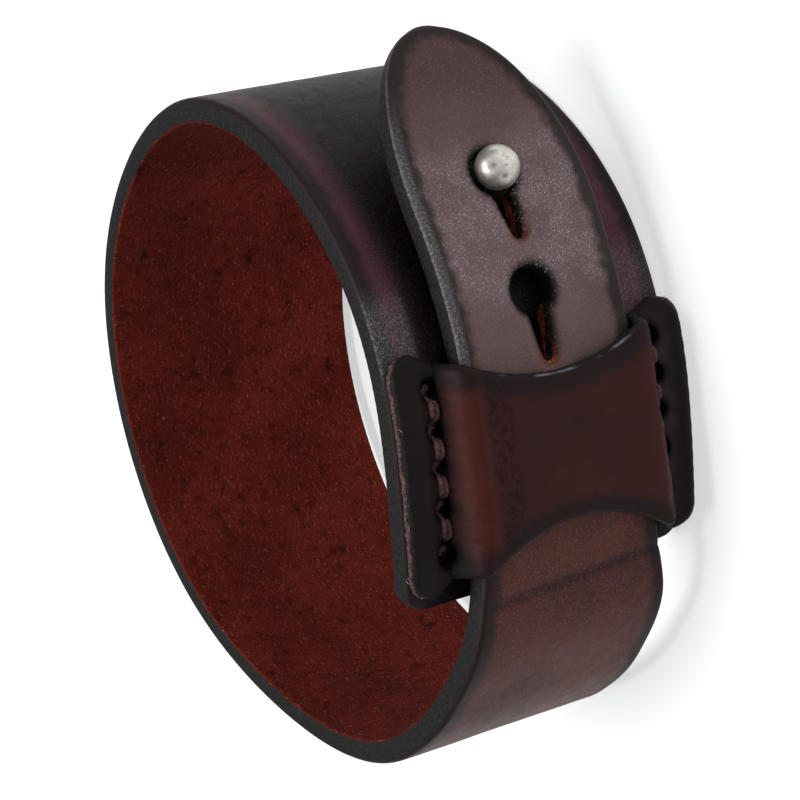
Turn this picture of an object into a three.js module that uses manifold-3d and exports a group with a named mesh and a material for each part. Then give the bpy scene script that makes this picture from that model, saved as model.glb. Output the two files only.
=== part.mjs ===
// Leather cuff bracelet, buttoned over a ball stud and lying on its side. Millimetres, +Z up.
// The wrist goes through along Z. The front, with the keeper and the tongue, faces -Y,
// and the tongue points towards +X. One strap goes once round the wrist and laps over its own base end.
import * as THREE from 'three';
import { mergeVertices } from 'three/addons/utils/BufferGeometryUtils.js';
import Module from 'manifold-3d';

const wasm = await Module();
wasm.setup();

// Strap: its lap is what goes past its own base end, to the tip of the tongue
const lapLength = 53.3;
const strapThickness = 2.4;
const bandWidth = 30;
const tongueWidth = 18.7;
const tipLength = 18;
const baseCornerRadius = 2;
const edgeBevel = 0.4;

// Loop that the strap is worn in, to the middle of the leather
const loopRadius = 30.4;
const baseEndDegrees = -22;

// Keyholes in the tongue, measured from its tip
const keyholeDistance = 15.4;
const keyholePitch = 10.9;
const keyholeCount = 2;
const keyholeRadius = 2.25;
const keyslotLength = 6.4;
const keyslotWidth = 2.2;
const keyslotEndWidth = 1.3;
const keyslotLeanDegrees = 3;

// Keeper, measured along the base from the base end
const keeperThickness = 1.3;
const keeperStart = 1.6;
const keeperWingLength = 21;
const keeperWaistLength = 12;
const keeperWaistShift = 0.8;
const keeperCornerRadius = 2.2;
const shoulderRun = 1.6;

// Stitch holes through the keeper's wings and the base
const stitchInset = 3.5;
const stitchHoleRadius = 0.8;

// Ball stud and its screw
const ballRadius = 2.02;
const ballRise = 0.45;
const neckRadius = 1.3;
const flangeRadius = 3.2;
const flangeThickness = 0.8;
const boreRadius = 0.95;
const boreDepth = 2.4;
const screwHeadRadius = 3.6;
const screwHeadThickness = 1;
const screwRimChamfer = 0.36;
const screwSlotWidth = 0.8;
const screwSlotDepth = 0.4;

// Clearances
const layerGap = 0.3;
const screwGap = 0.2;

// Mesh fineness
const stationStep = 2.6;
const tipStations = 9;
const cornerStations = 4;
const keeperAcross = 44;
const keeperAlong = 8;
const roundSides = 24;
const smallSides = 10;
const lineStepDegrees = 0.5;

const fullTurn = 360;

// How the loop departs from a circle: shares of its radius, in waves that peak at the front or the side
const loopWaves = [
  { lobes: 2, front: -0.023, side: -0.027 },
  { lobes: 3, front: -0.034, side: -0.007 },
  { lobes: 4, front: -0.01, side: 0.009 },
  { lobes: 5, front: -0.003, side: 0.01 },
];

// How far the strap stands off the loop where it laps over its base end: shares of its thickness
const lapRows = [
  { turn: 285, lift: 0 },
  { turn: 305, lift: 0.13 },
  { turn: 320, lift: 0.75 },
  { turn: 336, lift: 1.72 },
  { turn: 352, lift: 1.58 },
  { turn: 370, lift: 1.25 },
  { turn: 388, lift: 1.42 },
  { turn: 406, lift: 2.03 },
  { turn: 428, lift: 3.75 },
];

// How the strap narrows: place is a share of its length, fullness 1 the band's width and 0 the tongue's
const taperRows = [
  { place: 0, fullness: 1 },
  { place: 0.24, fullness: 1 },
  { place: 0.43, fullness: 0.83 },
  { place: 0.53, fullness: 0.7 },
  { place: 0.62, fullness: 0.52 },
  { place: 0.71, fullness: 0.33 },
  { place: 0.77, fullness: 0.19 },
  { place: 0.8, fullness: 0.02 },
  { place: 0.83, fullness: -0.04 },
  { place: 0.88, fullness: -0.07 },
  { place: 0.94, fullness: -0.03 },
  { place: 1, fullness: 0 },
];

// Stitch holes up each wing: shares of the wing's length from its lower end
const stitchPlaces = [0.179, 0.376, 0.546, 0.698, 0.855];

const leatherBrown = material(0x4a2622, 0.55, 0);
const keeperBrown = material(0x3d1b1a, 0.5, 0);
const brushedSteel = material(0x9a948c, 0.35, 1);

function material(color, roughness, metalness) {
  return new THREE.MeshStandardMaterial({ color, roughness, metalness });
}

// Reads a table smoothly, with slopes that never overshoot its rows
function readTable(rows, keyColumn, valueColumn, key) {
  const last = rows.length - 1;
  const clamped = THREE.MathUtils.clamp(key, rows[0][keyColumn], rows[last][keyColumn]);
  let i = 0;
  while (i < last - 1 && clamped > rows[i + 1][keyColumn]) {
    i += 1;
  }
  const rise = (a) => {
    const step = rows[a + 1][keyColumn] - rows[a][keyColumn];
    return (rows[a + 1][valueColumn] - rows[a][valueColumn]) / step;
  };
  const slopeAt = (a) => {
    if (a === last) {
      return rise(a - 1);
    }
    const before = a === 0 ? 0 : rise(a - 1);
    const after = rise(a);
    return before * after <= 0 ? 0 : (2 * before * after) / (before + after);
  };
  const width = rows[i + 1][keyColumn] - rows[i][keyColumn];
  const t = (clamped - rows[i][keyColumn]) / width;
  const blend = 3 * t ** 2 - 2 * t ** 3;
  const leave = t ** 3 - 2 * t ** 2 + t;
  const arrive = t ** 3 - t ** 2;
  const level = THREE.MathUtils.lerp(rows[i][valueColumn], rows[i + 1][valueColumn], blend);
  return level + width * (leave * slopeAt(i) + arrive * slopeAt(i + 1));
}

// Point of the closed loop at a turn in degrees from the front, towards +X
function loopPoint(turn) {
  const angle = THREE.MathUtils.degToRad(turn);
  let share = 1;
  for (const wave of loopWaves) {
    share += wave.front * Math.cos(wave.lobes * angle) + wave.side * Math.sin(wave.lobes * angle);
  }
  return new THREE.Vector2(Math.sin(angle), -Math.cos(angle)).multiplyScalar(loopRadius * share);
}

// Outward direction of the closed loop at a turn
function loopNormal(turn) {
  const ahead = loopPoint(turn + lineStepDegrees);
  const along = ahead.sub(loopPoint(turn - lineStepDegrees)).normalize();
  return new THREE.Vector2(along.y, -along.x);
}

// Distance from the loop to the middle of the leather where the strap laps over its base end
function lapLift(turn) {
  return turn <= lapRows[0].turn ? 0 : strapThickness * readTable(lapRows, 'turn', 'lift', turn);
}

// Middle line of the strap as { distance, turn, point }, from the base end on past the tip of the tongue
const lineEndDegrees = baseEndDegrees + 1.5 * fullTurn;
const strapLine = [];
for (let turn = baseEndDegrees, distance = 0; turn < lineEndDegrees; turn += lineStepDegrees) {
  const point = loopPoint(turn).addScaledVector(loopNormal(turn), lapLift(turn));
  distance += strapLine.length ? point.distanceTo(strapLine.at(-1).point) : 0;
  strapLine.push({ distance, turn, point });
}
const strapLength = distanceAtTurn(baseEndDegrees + fullTurn) + lapLength;

// Place on the strap: middle point, direction along it and outward normal
function strapAt(distance) {
  const next = strapLine.findIndex((spot) => spot.distance > distance);
  const i = Math.max(next, 1);
  const [near, far] = [strapLine[i - 1], strapLine[i]];
  const share = (distance - near.distance) / (far.distance - near.distance);
  const point = near.point.clone().lerp(far.point, share);
  const before = strapLine[Math.max(i - 2, 0)].point;
  const after = strapLine[i + 1].point;
  const along = after.clone().sub(before).normalize();
  const turn = THREE.MathUtils.lerp(near.turn, far.turn, share);
  return { point, along, normal: new THREE.Vector2(along.y, -along.x), turn };
}

function distanceAtTurn(turn) {
  const steps = (turn - baseEndDegrees) / lineStepDegrees;
  const i = THREE.MathUtils.clamp(Math.floor(steps), 0, strapLine.length - 2);
  return THREE.MathUtils.lerp(strapLine[i].distance, strapLine[i + 1].distance, steps - i);
}

// Half of the strap's width before its two ends are rounded
function taperedHalfWidth(distance) {
  const fullness = readTable(taperRows, 'place', 'fullness', distance / strapLength);
  return THREE.MathUtils.lerp(tongueWidth, bandWidth, fullness) / 2;
}

// Half of the strap's width with the round tip and the base end's corners
function halfWidth(distance) {
  const tip = Math.max(0, distance - (strapLength - tipLength)) / tipLength;
  const corner = Math.max(0, baseCornerRadius - distance);
  const cornerLoss = baseCornerRadius - Math.sqrt(baseCornerRadius ** 2 - corner ** 2);
  return taperedHalfWidth(distance) * Math.sqrt(1 - tip ** 2) - cornerLoss;
}

// Point off the strap's middle line: out along the normal, and up from the middle of the width
function offStrap(place, out, up) {
  const flat = place.point.clone().addScaledVector(place.normal, out);
  return new THREE.Vector3(flat.x, flat.y, up + bandWidth / 2);
}

// Closed skin over equal rings of points, with flat ends
function skinOver(rings) {
  const count = rings[0].length;
  const positions = rings.flat().flatMap((p) => [p.x, p.y, p.z]);
  const index = [];
  for (let r = 0; r < rings.length - 1; r += 1) {
    for (let k = 0; k < count; k += 1) {
      const a = r * count + k;
      const b = r * count + (k + 1) % count;
      index.push(a, b, a + count, b, b + count, a + count);
    }
  }
  const end = (rings.length - 1) * count;
  for (let k = 1; k < count - 1; k += 1) {
    index.push(0, k + 1, k, end, end + k, end + k + 1);
  }
  const geometry = new THREE.BufferGeometry();
  geometry.setAttribute('position', new THREE.Float32BufferAttribute(positions, 3));
  geometry.setIndex(index);
  return geometry;
}

function toSolid(geometry) {
  const bare = geometry.clone();
  bare.deleteAttribute('normal');
  bare.deleteAttribute('uv');
  const merged = mergeVertices(bare, 1e-5);
  const vertProperties = new Float32Array(merged.attributes.position.array);
  const triVerts = new Uint32Array(merged.index.array);
  return new wasm.Manifold(new wasm.Mesh({ numProp: 3, vertProperties, triVerts }));
}

function cutAway(geometry, cutters) {
  let solid = toSolid(geometry);
  for (const cutter of cutters) {
    solid = solid.subtract(toSolid(cutter));
  }
  const mesh = solid.getMesh();
  const cut = new THREE.BufferGeometry();
  cut.setAttribute('position', new THREE.Float32BufferAttribute(mesh.vertProperties, 3));
  cut.setIndex(Array.from(mesh.triVerts));
  return cut;
}

// Moves a shape drawn with X along the strap, Y across it and Z outwards to a place on the strap
function seatOn(geometry, place, out, up) {
  const origin = offStrap(place, out, up);
  const along = new THREE.Vector3(place.along.x, place.along.y, 0);
  const across = new THREE.Vector3(0, 0, 1);
  const outward = new THREE.Vector3(place.normal.x, place.normal.y, 0);
  const matrix = new THREE.Matrix4().makeBasis(along, across, outward);
  return geometry.applyMatrix4(matrix.setPosition(origin));
}

// Straight round cutter through the leather, along the seat's outward direction
function drill(radius, sides, depth) {
  return new THREE.CylinderGeometry(radius, radius, depth, sides).rotateX(Math.PI / 2);
}

// Depth of a cutter that goes right through the strap's leather
const throughDepth = 3 * strapThickness;

// Keyhole with a tapered slot towards the base end, which leans a little across the strap
function keyhole() {
  const outline = new THREE.Shape();
  const open = Math.PI - Math.asin(keyslotWidth / 2 / keyholeRadius);
  const end = keyslotEndWidth / 2;
  outline.absarc(0, 0, keyholeRadius, -open, open, false);
  outline.absarc(end - keyslotLength, 0, end, Math.PI / 2, 1.5 * Math.PI, false);
  const options = { depth: throughDepth, bevelEnabled: false, curveSegments: roundSides };
  const cutter = new THREE.ExtrudeGeometry(outline, options).translate(0, 0, -throughDepth / 2);
  return cutter.rotateZ(THREE.MathUtils.degToRad(keyslotLeanDegrees));
}

const keyholeSpots = [];
for (let i = 0; i < keyholeCount; i += 1) {
  keyholeSpots.push(strapLength - keyholeDistance - i * keyholePitch);
}

// The stud stands square on the base, where its ball meets the middle of the keyhole nearest the tip
const buttoned = strapAt(keyholeSpots[0]);
const ballMiddle = buttoned.point.clone().addScaledVector(buttoned.normal, strapThickness / 2 + ballRise);
const studSeat = squareUnder(ballMiddle, distanceAtTurn(buttoned.turn - fullTurn));
const ballHeight = ballMiddle.distanceTo(studSeat.point);

// Place on the strap that a point stands squarely over, sought from a distance near it
function squareUnder(point, distance) {
  const searchSteps = 6;
  let place = strapAt(distance);
  for (let i = 0, reached = distance; i < searchSteps; i += 1) {
    reached += point.clone().sub(place.point).dot(place.along);
    place = strapAt(reached);
  }
  return place;
}

// Seats of the stitch holes, with their height off the middle of the width
const stitchHeight = bandWidth / 2 - stitchInset;
const stitchSeats = stitchPlaces.flatMap((share) => {
  const place = strapAt(keeperStart + share * keeperWingLength);
  return [{ place, up: stitchHeight }, { place, up: -stitchHeight }];
});

// Strap: rings of a bevelled section from the base end to the tip
function makeStrap() {
  const stations = [];
  for (let i = 0; i <= cornerStations; i += 1) {
    stations.push(baseCornerRadius * (1 - Math.cos((i / cornerStations) * Math.PI / 2)));
  }
  const tipStart = strapLength - tipLength;
  const tipFlat = 0.35;
  const steps = Math.round((tipStart - baseCornerRadius) / stationStep);
  for (let i = 1; i <= steps; i += 1) {
    stations.push(THREE.MathUtils.lerp(baseCornerRadius, tipStart, i / steps));
  }
  for (let i = 1; i <= tipStations; i += 1) {
    stations.push(tipStart + tipLength * Math.sin((i / (tipStations + tipFlat)) * Math.PI / 2));
  }
  const rings = stations.map((distance) => {
    const place = strapAt(distance);
    const w = halfWidth(distance);
    const t = strapThickness / 2;
    const b = edgeBevel;
    const lower = [[t, b - w], [t - b, -w], [b - t, -w], [-t, b - w]];
    const upper = [[-t, w - b], [b - t, w], [t - b, w], [t, w - b]];
    return [...lower, ...upper].map(([out, up]) => offStrap(place, out, up));
  });
  const cutters = keyholeSpots.map((distance) => seatOn(keyhole(), strapAt(distance), 0, 0));
  const screwHole = drill(boreRadius + screwGap, roundSides / 2, throughDepth);
  cutters.push(seatOn(screwHole, studSeat, 0, 0));
  for (const seat of stitchSeats) {
    cutters.push(seatOn(drill(stitchHoleRadius, smallSides, throughDepth), seat.place, 0, seat.up));
  }
  return new THREE.Mesh(cutAway(skinOver(rings), cutters), leatherBrown);
}

// Keeper's two ends along the base at a height off the middle of the width
function keeperReach(up) {
  const half = bandWidth / 2;
  const across = Math.abs(up);
  const flare = Math.min(1, across / (half - keeperCornerRadius)) ** 2;
  const corner = Math.max(0, across - (half - keeperCornerRadius));
  const cornerLoss = keeperCornerRadius - Math.sqrt(keeperCornerRadius ** 2 - corner ** 2);
  const notch = (1 - flare) * (keeperWingLength - keeperWaistLength) / 2;
  const shift = (1 - flare) * keeperWaistShift;
  return {
    low: keeperStart + notch + shift + cornerLoss,
    high: keeperStart + keeperWingLength - notch + shift - cornerLoss,
  };
}

// Height of the keeper's middle off the base's: flat on the base, arched over the tongue
function keeperRise(distance, up) {
  const { turn } = strapAt(distance);
  const tongueDistance = distanceAtTurn(turn + fullTurn);
  const wing = (strapThickness + keeperThickness) / 2 + layerGap;
  const bridge = wing + lapLift(turn + fullTurn);
  const wall = taperedHalfWidth(tongueDistance) + layerGap + keeperThickness / 2;
  const climb = THREE.MathUtils.smoothstep(Math.abs(up), wall - shoulderRun / 2, wall + shoulderRun / 2);
  return THREE.MathUtils.lerp(bridge, wing, climb);
}

// Keeper: two skins half a thickness either side of its middle surface
function makeKeeper() {
  const half = bandWidth / 2;
  const edgeEase = 0.9999;
  const nudge = 0.05;
  const outer = [];
  const inner = [];
  for (let j = 0; j <= keeperAcross; j += 1) {
    const share = (2 * j) / keeperAcross - 1;
    const up = half * Math.sign(share) * Math.sin(Math.abs(share) * Math.PI / 2) ** 0.8;
    const reach = keeperReach(up * edgeEase);
    const outerRow = [];
    const innerRow = [];
    for (let i = 0; i <= keeperAlong; i += 1) {
      const distance = THREE.MathUtils.lerp(reach.low, reach.high, i / keeperAlong);
      const place = strapAt(distance);
      const slope = (keeperRise(distance, up + nudge) - keeperRise(distance, up - nudge)) / (2 * nudge);
      const lean = new THREE.Vector2(1, -slope).normalize().multiplyScalar(keeperThickness / 2);
      const rise = keeperRise(distance, up);
      outerRow.push(offStrap(place, rise + lean.x, up + lean.y));
      innerRow.push(offStrap(place, rise - lean.x, up - lean.y));
    }
    outer.push(outerRow);
    inner.push(innerRow);
  }
  const rings = outer.map((row, j) => [...row, ...inner[j].reverse()]);
  const cutters = stitchSeats.map((seat) => {
    const drillBit = drill(stitchHoleRadius, smallSides, 4 * keeperThickness);
    return seatOn(drillBit, seat.place, strapThickness / 2 + keeperThickness, seat.up);
  });
  return new THREE.Mesh(cutAway(skinOver(rings), cutters), keeperBrown);
}

// Turned piece about the stud's axis, from { radius, height } points measured off the loop line
function turnOnStud(profile, sides, cutters, finish) {
  const points = profile.map(([radius, height]) => new THREE.Vector2(radius, height));
  let geometry = new THREE.LatheGeometry(points, sides).rotateX(Math.PI / 2);
  geometry = cutAway(geometry, cutters);
  return new THREE.Mesh(seatOn(geometry, studSeat, 0, 0), finish);
}

// Ball, neck and flange, with a bore for the screw
function makeBallStud() {
  const foot = strapThickness / 2 + layerGap;
  const flangeTop = foot + flangeThickness;
  const profile = [[boreRadius, foot], [flangeRadius, foot]];
  profile.push([flangeRadius, flangeTop], [neckRadius, flangeTop]);
  const neckAngle = Math.asin(neckRadius / ballRadius);
  const ballSteps = roundSides / 2;
  for (let i = 0; i <= ballSteps; i += 1) {
    const angle = THREE.MathUtils.lerp(neckAngle, Math.PI, i / ballSteps);
    const radius = i === ballSteps ? 0 : ballRadius * Math.sin(angle);
    profile.push([radius, ballHeight - ballRadius * Math.cos(angle)]);
  }
  profile.push([0, foot + boreDepth], [boreRadius, foot + boreDepth], [boreRadius, foot]);
  return turnOnStud(profile, roundSides, [], brushedSteel);
}

// Slotted screw from the inside of the base
function makeStudScrew() {
  const seat = -strapThickness / 2 - layerGap;
  const tip = strapThickness / 2 + boreDepth;
  const shank = boreRadius - screwGap;
  const crown = seat - screwHeadThickness;
  const rimTop = crown + screwRimChamfer;
  const profile = [[0, crown], [screwHeadRadius - 2 * screwRimChamfer, crown], [screwHeadRadius, rimTop]];
  profile.push([screwHeadRadius, seat], [shank, seat], [shank, tip], [0, tip]);
  const slot = new THREE.BoxGeometry(3 * screwHeadRadius, screwSlotWidth, 2 * screwSlotDepth);
  return turnOnStud(profile, roundSides, [slot.translate(0, 0, crown)], brushedSteel);
}

const bracelet = new THREE.Group();
const pieces = {
  strap: makeStrap(),
  keeper: makeKeeper(),
  ball_stud: makeBallStud(),
  stud_screw: makeStudScrew(),
};
for (const [name, mesh] of Object.entries(pieces)) {
  mesh.name = name;
  bracelet.add(mesh);
}

// The origin is the middle of the underside
const box = new THREE.Box3().setFromObject(bracelet);
const middle = box.getCenter(new THREE.Vector3());
bracelet.position.set(-middle.x, -middle.y, -box.min.z);

export default bracelet;
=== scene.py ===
"""Leather cuff bracelet, buttoned over a ball stud and lying on its side: the looks around the CAD frame.

Lengths are millimetres until a mesh is made. Leather is cut flat first, as x along the strap from its
base end, y across it and z outwards, and is then laid along the loop that the wrist goes through."""
import math

import bpy
import numpy as np
from mathutils import Matrix, Vector, geometry, kdtree, noise


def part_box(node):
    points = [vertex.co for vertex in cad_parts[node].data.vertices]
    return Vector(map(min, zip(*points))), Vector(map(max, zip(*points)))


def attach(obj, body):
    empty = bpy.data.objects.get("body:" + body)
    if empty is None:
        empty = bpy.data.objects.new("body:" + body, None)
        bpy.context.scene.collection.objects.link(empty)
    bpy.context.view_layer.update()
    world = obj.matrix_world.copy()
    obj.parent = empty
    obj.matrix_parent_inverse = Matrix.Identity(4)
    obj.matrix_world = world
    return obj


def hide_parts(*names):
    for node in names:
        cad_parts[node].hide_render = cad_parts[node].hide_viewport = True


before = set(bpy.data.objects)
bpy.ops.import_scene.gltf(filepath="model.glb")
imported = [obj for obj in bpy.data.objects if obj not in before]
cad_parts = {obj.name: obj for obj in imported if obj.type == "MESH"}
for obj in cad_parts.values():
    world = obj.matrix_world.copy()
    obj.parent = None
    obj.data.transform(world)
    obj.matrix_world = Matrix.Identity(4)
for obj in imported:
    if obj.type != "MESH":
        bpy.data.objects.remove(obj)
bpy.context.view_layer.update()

MM = 0.001

# Strap
STRAP_THICKNESS = 2.4
BAND_WIDTH = 30.0
TONGUE_WIDTH = 18.7
TIP_LENGTH = 18.0
LAP_LENGTH = 53.3
BASE_CORNER = 2.0

# Loop of the strap, to the middle of the leather
LOOP_RADIUS = 30.4
BASE_END_DEGREES = -22.0
TURN_STEP = 0.25
GUIDE_LEAD = 3.0

# Keyholes, measured from the tip of the tongue
KEYHOLE_DISTANCE = 15.4
KEYHOLE_PITCH = 10.9
KEYHOLE_COUNT = 2
KEYHOLE_RADIUS = 2.2
KEYSLOT_LENGTH = 6.3
KEYSLOT_WIDTH = 2.1
KEYSLOT_END_WIDTH = 1.2
KEYSLOT_LEAN = 3.0

# How far raw leather shows round the end of a keyhole's slot, and along the slot from its middle
RAW_REACH = 7.0
SLOT_MIDDLE = 3.6
RAW_HALF_LENGTH = 4.4

# Spacing of the points that carry the leather's relief
STRAP_GRID = 0.62
KEEPER_GRID = 0.42

# Cut edges: how far each is rounded over, and how deep and wide the keyholes are dished
GRAIN_EDGE_ROUND = 0.5
FLESH_EDGE_ROUND = 0.25
KEEPER_EDGE_ROUND = 0.45
KEEPER_FLESH_ROUND = 0.2
HOLE_ROUND = 0.3
DISH_DEPTH = 0.45
DISH_WIDTH = 0.75

# Crease across the tongue, which leans a little: distance is from the base end
CREASE_DISTANCE = 195.25
CREASE_LEAN = 0.053
CREASE_DEPTH = 0.22
CREASE_WIDTH = 0.45

# Keeper, measured from the base end
KEEPER_THICKNESS = 1.3
KEEPER_START = 1.6
KEEPER_WING = 21.0
KEEPER_WAIST = 12.0
KEEPER_WAIST_SHIFT = 0.8
KEEPER_CORNER = 2.2
SHOULDER_RUN = 1.6

# Keeper's far side, which stands out a little
FAR_SHOULDER_SPREAD = 0.3
FAR_WING_CURL = 1.1
FAR_CURL_START = 11.0
FAR_ROW_SHIFT = 0.45

# Gap between layers that lie on each other
LAYER_GAP = 0.3

# Stitching: holes as (share of the wing's length from its lower end, length along the row)
STITCH_INSET = 3.5
STITCH_HOLE_WIDTH = 1.7
BASE_HOLE_SHRINK = 0.8
STITCH_HOLES = ((0.179, 2.6), (0.376, 2.0), (0.546, 1.55), (0.698, 1.75), (0.855, 1.75))
THREAD_PLY_RADIUS = 0.27
THREAD_DIVE = 1.3
THREAD_TUCK = 0.08
THREAD_SUNK = 0.12
THREAD_SUNK_INSIDE = 0.1
THREAD_PLUG_DEPTH = 1.2
THREAD_PLUG_INSET = 0.5
GROOVE_DEPTH = 0.3
GROOVE_WIDTH = 0.9

# Ball stud and its screw
BALL_RADIUS = 2.02
BALL_RISE = 0.45
NECK_RADIUS = 1.3
FLANGE_RADIUS = 3.2
FLANGE_THICKNESS = 0.8
FLANGE_CHAMFER = 0.2
NECK_FILLET = 0.3
BORE_RADIUS = 0.95
SCREW_HEAD_RADIUS = 3.6
SCREW_HEAD_THICKNESS = 1.0
SCREW_RIM_DROP = 0.6
SCREW_DOME = 0.25
SCREW_CHAMFER = 0.1
SCREW_TIP_GAP = 0.05
SCREW_SLOT_WIDTH = 0.8
SCREW_SLOT_DEPTH = 0.4
SCREW_GAP = 0.2

# Dents in the ball: (direction from its middle, depth, width)
BALL_DENTS = (((-0.28, 0.644, 0.712), 0.13, 0.45), ((-0.824, 0.248, 0.509), 0.07, 0.35))

# How the loop departs from a circle: (lobes, share at the front, share at the side)
LOOP_WAVES = ((2, -0.023, -0.027), (3, -0.034, -0.007), (4, -0.01, 0.009), (5, -0.003, 0.01))

# How far the strap stands off the loop over its base end: (turn, shares of its thickness)
LAP_ROWS = (
    (285, 0), (305, 0.13), (320, 0.75), (336, 1.72), (352, 1.58),
    (370, 1.25), (388, 1.42), (406, 2.03), (428, 3.75),
)

# How the strap narrows from the band to the tongue: (share of its length, fullness)
TAPER_ROWS = (
    (0, 1), (0.24, 1), (0.43, 0.83), (0.53, 0.7), (0.62, 0.52),
    (0.71, 0.33), (0.77, 0.19), (0.8, 0.02), (0.83, -0.04), (0.88, -0.07), (0.94, -0.03), (1, 0),
)

# Camera that matches the photograph: it looks at a point near the loop's middle, from above the floor
CAMERA_AIM = (0.485, -3.488, 15.0)
CAMERA_AZIMUTH = 16.876
CAMERA_ELEVATION = 28.919
CAMERA_ROLL = -104.188
CAMERA_DISTANCE = 230.55
CAMERA_LENS = 105.55
CAMERA_SHIFT = (0.01145, 0.0025)


# Loop and strap as functions of distance

def read_table(rows, keys):
    """Reads (key, value) rows smoothly, with slopes that never overshoot them."""
    places, values = np.array(rows, float).T
    rises = np.diff(values) / np.diff(places)
    before, after = rises[:-1], rises[1:]
    together = np.where(before * after > 0, before + after, 1.0)
    inner = np.where(before * after > 0, 2 * before * after / together, 0.0)
    slopes = np.concatenate(([0.0], inner, [rises[-1]]))
    keys = np.clip(keys, places[0], places[-1])
    i = np.clip(np.searchsorted(places, keys) - 1, 0, len(rows) - 2)
    width = places[i + 1] - places[i]
    t = (keys - places[i]) / width
    level = values[i] + (values[i + 1] - values[i]) * (3 * t**2 - 2 * t**3)
    return level + width * ((t**3 - 2 * t**2 + t) * slopes[i] + (t**3 - t**2) * slopes[i + 1])


def smoothstep(value, low, high):
    t = np.clip((value - low) / (high - low), 0, 1)
    return t * t * (3 - 2 * t)


def loop_point(turns):
    """Points of the closed loop at turns in degrees from the front, towards +X."""
    angle = np.radians(turns)
    share = np.ones_like(angle)
    for lobes, front, side in LOOP_WAVES:
        share += front * np.cos(lobes * angle) + side * np.sin(lobes * angle)
    return LOOP_RADIUS * share[:, None] * np.stack([np.sin(angle), -np.cos(angle)], 1)


def turned_right(along):
    """Unit vectors a quarter turn clockwise of these, which point out of the loop."""
    unit = along / np.linalg.norm(along, axis=1, keepdims=True)
    return np.stack([unit[:, 1], -unit[:, 0]], 1)


def lap_lift(turns):
    """Distance from the loop to the middle of the leather that laps over the base end."""
    return STRAP_THICKNESS * read_table(LAP_ROWS, turns)


guide_turns = np.arange(BASE_END_DEGREES, BASE_END_DEGREES + 540, TURN_STEP)
loop_out = turned_right(loop_point(guide_turns + 0.5) - loop_point(guide_turns - 0.5))
guide_points = loop_point(guide_turns) + loop_out * lap_lift(guide_turns)[:, None]
guide_steps = np.linalg.norm(np.diff(guide_points, axis=0), axis=1)
guide_distances = np.concatenate(([0.0], np.cumsum(guide_steps)))
guide_out = turned_right(np.gradient(guide_points, axis=0))


def distance_at(turn):
    return np.interp(turn, guide_turns, guide_distances)


def turn_at(distance):
    return np.interp(distance, guide_distances, guide_turns)


STRAP_LENGTH = float(distance_at(BASE_END_DEGREES + 360)) + LAP_LENGTH
TIP_START = STRAP_LENGTH - TIP_LENGTH
KEYHOLES = [STRAP_LENGTH - KEYHOLE_DISTANCE - i * KEYHOLE_PITCH for i in range(KEYHOLE_COUNT)]


def lay(flat):
    """Places flat leather points along the strap, in the loop's own frame."""
    x, y, z = flat.T
    middle = np.stack([np.interp(x, guide_distances, column) for column in guide_points.T], 1)
    out = np.stack([np.interp(x, guide_distances, column) for column in guide_out.T], 1)
    out /= np.linalg.norm(out, axis=1, keepdims=True)
    return np.column_stack([middle + out * z[:, None], y + BAND_WIDTH / 2])


def stud_seat():
    """Distance along the base to the stud, and height of its ball in the middle of its keyhole."""
    ball = lay(np.array([[KEYHOLES[0], 0, STRAP_THICKNESS / 2 + BALL_RISE]]))[0]
    distance = float(distance_at(turn_at(KEYHOLES[0]) - 360))
    for _ in range(6):
        foot, ahead = lay(np.array([[distance, 0, 0], [distance + 0.1, 0, 0]]))
        distance += float((ball - foot) @ (ahead - foot) / np.linalg.norm(ahead - foot))
    return distance, float(np.linalg.norm(ball - foot))


STUD_DISTANCE, BALL_HEIGHT = stud_seat()


def frame_shift():
    """How far the CAD frame lies from the loop's own frame, read off the strap's box."""
    x = np.linspace(0, STRAP_LENGTH, 4000)
    skins = [lay(np.column_stack([x, 0 * x, 0 * x + side * STRAP_THICKNESS / 2])) for side in (-1, 1)]
    low = np.concatenate(skins).min(0)
    high = np.concatenate(skins).max(0)
    cad_low, cad_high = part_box("strap")
    return np.array([cad_low[0] / MM - low[0], cad_high[1] / MM - high[1], 0.0])


SHIFT = frame_shift()


def tapered_half_width(x):
    fullness = read_table(TAPER_ROWS, x / STRAP_LENGTH)
    return (TONGUE_WIDTH + (BAND_WIDTH - TONGUE_WIDTH) * fullness) / 2


# Cutting leather flat

def resampled(points, step):
    """Closed outline with evenly spaced points."""
    closed = np.vstack([points, points[:1]])
    lengths = np.concatenate(([0.0], np.cumsum(np.linalg.norm(np.diff(closed, axis=0), axis=1))))
    count = max(8, round(lengths[-1] / step))
    places = np.linspace(0, lengths[-1], count, endpoint=False)
    return np.column_stack([np.interp(places, lengths, closed[:, k]) for k in (0, 1)])


def softened(points, passes):
    """Outline with its sharp corners eased."""
    for _ in range(passes):
        points = (np.roll(points, 1, 0) + 2 * points + np.roll(points, -1, 0)) / 4
    return points


def left_normals(outline):
    along = np.roll(outline, -1, 0) - np.roll(outline, 1, 0)
    along /= np.linalg.norm(along, axis=1, keepdims=True)
    return np.stack([-along[:, 1], along[:, 0]], 1)


def is_inside(points, outline):
    """Which points lie inside a closed outline."""
    inside = np.zeros(len(points), bool)
    ends = np.roll(outline, -1, 0)
    for (x0, y0), (x1, y1) in zip(outline, ends):
        if y0 != y1:
            crosses = (points[:, 1] < y0) != (points[:, 1] < y1)
            reach = x0 + (points[:, 1] - y0) * (x1 - x0) / (y1 - y0)
            inside ^= crosses & (points[:, 0] < reach)
    return inside


def is_in_leather(points, cuts):
    """Which points lie inside the first cut line, the outline, and outside every other."""
    inside = is_inside(points, cuts[0])
    for hole in cuts[1:]:
        inside &= ~is_inside(points, hole)
    return inside


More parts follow.
